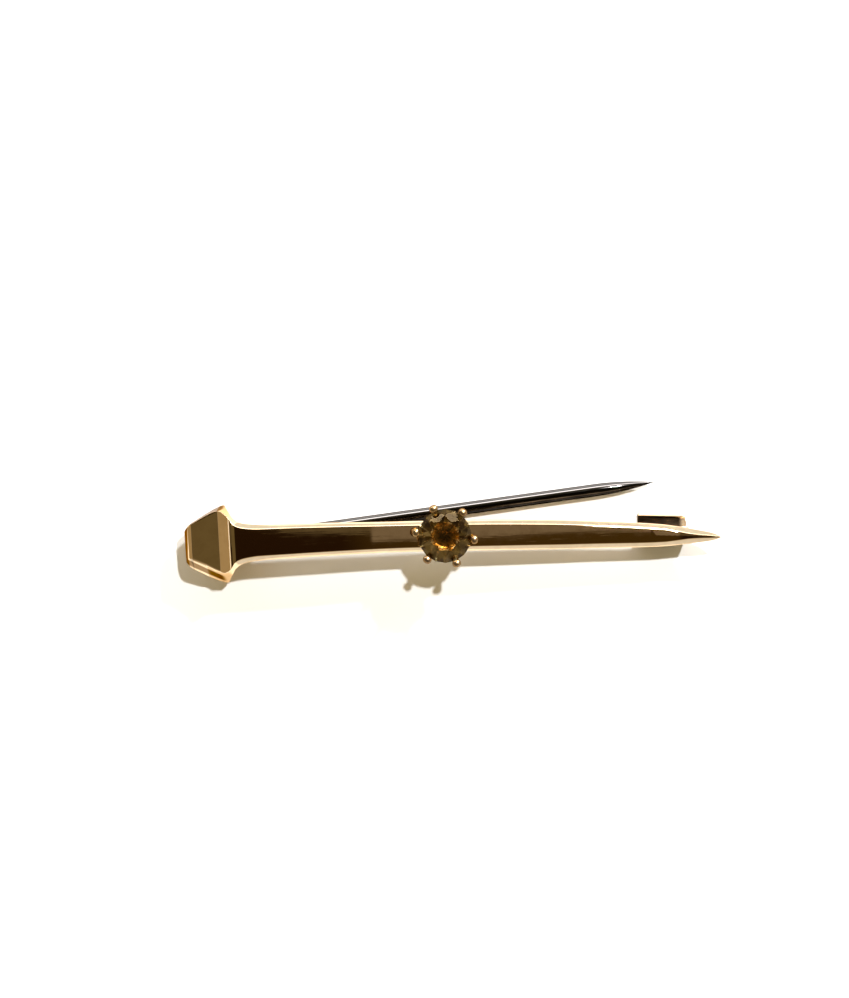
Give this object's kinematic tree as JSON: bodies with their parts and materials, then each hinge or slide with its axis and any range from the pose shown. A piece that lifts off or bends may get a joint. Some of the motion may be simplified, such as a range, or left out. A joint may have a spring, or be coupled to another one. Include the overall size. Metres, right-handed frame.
{
  "type": "bar brooch",
  "caption": "Gold horseshoe-nail bar brooch with a round brown stone in claws, a steel pin on a sideways hinge and a side-opening catch.",
  "frame": {"origin": "where the hinge's axis meets the underside of the hinge's foot, on the surface that the brooch lies on", "axes": "+X along the nail from the hinge to its point, +Y to the side that the catch opens to, +Z out of the nail's face"},
  "size_m": [0.0501, 0.0089, 0.0074],
  "materials": {
    "gold": "polished yellow gold, with worn edges",
    "steel": "darkened steel wire, half polished",
    "stone": "brownish yellow transparent faceted gem"
  },
  "bodies": {
    "bar_body": {"nail_bar": "gold", "hinge_rivet": "gold", "stone": "stone"},
    "pin_body": {"pin": "steel"}
  },
  "joints": [
    {"name": "pin_hinge", "type": "hinge", "parent": "bar_body", "child": "pin_body", "pos_m": [0, 0, 0.0009], "axis": [0, 0, 1], "range_deg": [-6.9, 80]}
  ]
}
